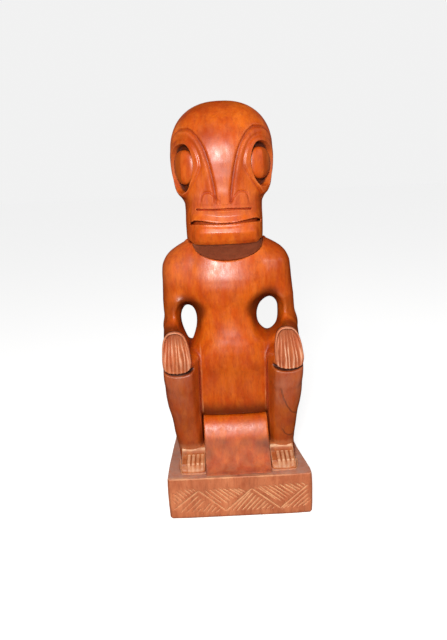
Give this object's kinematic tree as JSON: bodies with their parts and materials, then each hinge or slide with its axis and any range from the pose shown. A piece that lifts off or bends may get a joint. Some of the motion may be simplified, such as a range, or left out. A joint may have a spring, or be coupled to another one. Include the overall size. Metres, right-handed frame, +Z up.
{
  "type": "seated tiki figure",
  "caption": "Carved hardwood tiki figure seated upright with hands over its knees, on a low stool and a chip-carved plinth.",
  "frame": {"origin": "centre of the bounding box of the plinth's underside, on the surface the figure stands on", "axes": "+Z up, from the plinth to the crown; the figure faces -Y; +X is the figure's own left"},
  "size_m": [0.143, 0.126, 0.4],
  "materials": {
    "polished_hardwood": "reddish orange tropical hardwood, sanded and waxed to a satin shine",
    "carved_plinth_hardwood": "the same wood, with vertical grain and paler fresh-cut gouge lines in its front band",
    "tooled_hardwood": "the same wood where small gouge facets and cuts are left, at hands and feet",
    "throat_hardwood": "the same wood, darker and duller in the undercut of the throat"
  },
  "bodies": {
    "root": {"plinth": "carved_plinth_hardwood", "seat": "polished_hardwood", "torso": "polished_hardwood", "neck": "throat_hardwood", "head": "polished_hardwood", "left_arm": "polished_hardwood", "right_arm": "polished_hardwood", "left_hand": "tooled_hardwood", "right_hand": "tooled_hardwood", "left_leg": "polished_hardwood", "right_leg": "polished_hardwood", "left_foot": "tooled_hardwood", "right_foot": "tooled_hardwood"}
  },
  "joints": []
}
